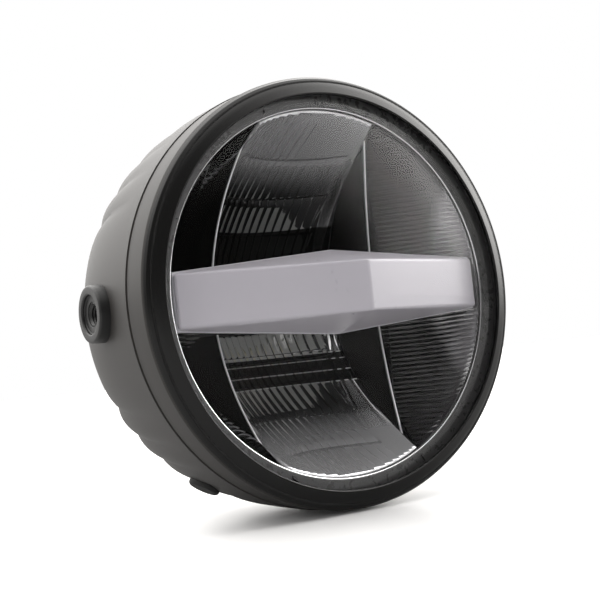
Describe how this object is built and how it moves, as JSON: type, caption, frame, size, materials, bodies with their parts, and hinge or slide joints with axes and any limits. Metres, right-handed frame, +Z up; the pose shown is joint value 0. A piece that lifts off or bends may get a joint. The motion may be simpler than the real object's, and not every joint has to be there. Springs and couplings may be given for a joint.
{
  "type": "round side-mount headlight",
  "caption": "Round black LED headlight with a clear domed lens, fluted bright reflectors, an opal light bar across the middle, a lobed rear housing and threaded side bushes.",
  "frame": {"origin": "on the lamp's axis, halfway between the two side bushes, where the aiming axis crosses it", "axes": "-Y is the way the lamp shines, +Z is up as mounted, +X runs along the aiming axis, out of the bush that is on the right when seen from in front"},
  "size_m": [0.179, 0.1339, 0.1708],
  "materials": {
    "bezel_black": "fine textured black coat",
    "clear_lens": "clear polished polycarbonate",
    "black_rubber": "soft black",
    "trim_black": "smooth dark",
    "opal_white": "opal, satin",
    "tray_white": "moulded white",
    "board_white": "solder mask",
    "led_yellow": "phosphor coat",
    "carrier_black": "black anodised",
    "zinc_steel": "zinc plated",
    "board_green": "solder mask",
    "part_black": "moulded",
    "housing_black": "matte moulded",
    "bush_black": "black coated steel",
    "black_steel": "black oxide",
    "vent_black": "moulded",
    "reflector_metallised": "vacuum metallised"
  },
  "bodies": {
    "root": {"bezel_ring": "bezel_black", "lens": "clear_lens", "lens_gasket": "black_rubber", "trim_ring": "trim_black", "upper_reflector": "reflector_metallised", "lower_reflector": "reflector_metallised", "left_wing_reflector": "reflector_metallised", "right_wing_reflector": "reflector_metallised", "upper_left_divider": "reflector_metallised", "upper_right_divider": "reflector_metallised", "lower_left_divider": "reflector_metallised", "lower_right_divider": "reflector_metallised", "light_bar_cover": "opal_white", "light_bar_tray": "tray_white", "light_bar_board": "board_white", "light_bar_leds": "led_yellow", "led_carrier": "carrier_black", "carrier_screws": "zinc_steel", "low_beam_board": "board_white", "high_beam_board": "board_white", "low_beam_leds": "led_yellow", "high_beam_leds": "led_yellow", "board_screws": "zinc_steel", "driver_board": "board_green", "driver_parts": "part_black", "housing_shell": "housing_black", "left_side_bush": "bush_black", "right_side_bush": "bush_black", "left_rest_foot": "black_rubber", "right_rest_foot": "black_rubber", "rear_cover": "housing_black", "cover_seal": "black_rubber", "cover_screws": "black_steel", "cable_grommet": "black_rubber", "vent_cap": "vent_black"}
  },
  "joints": []
}
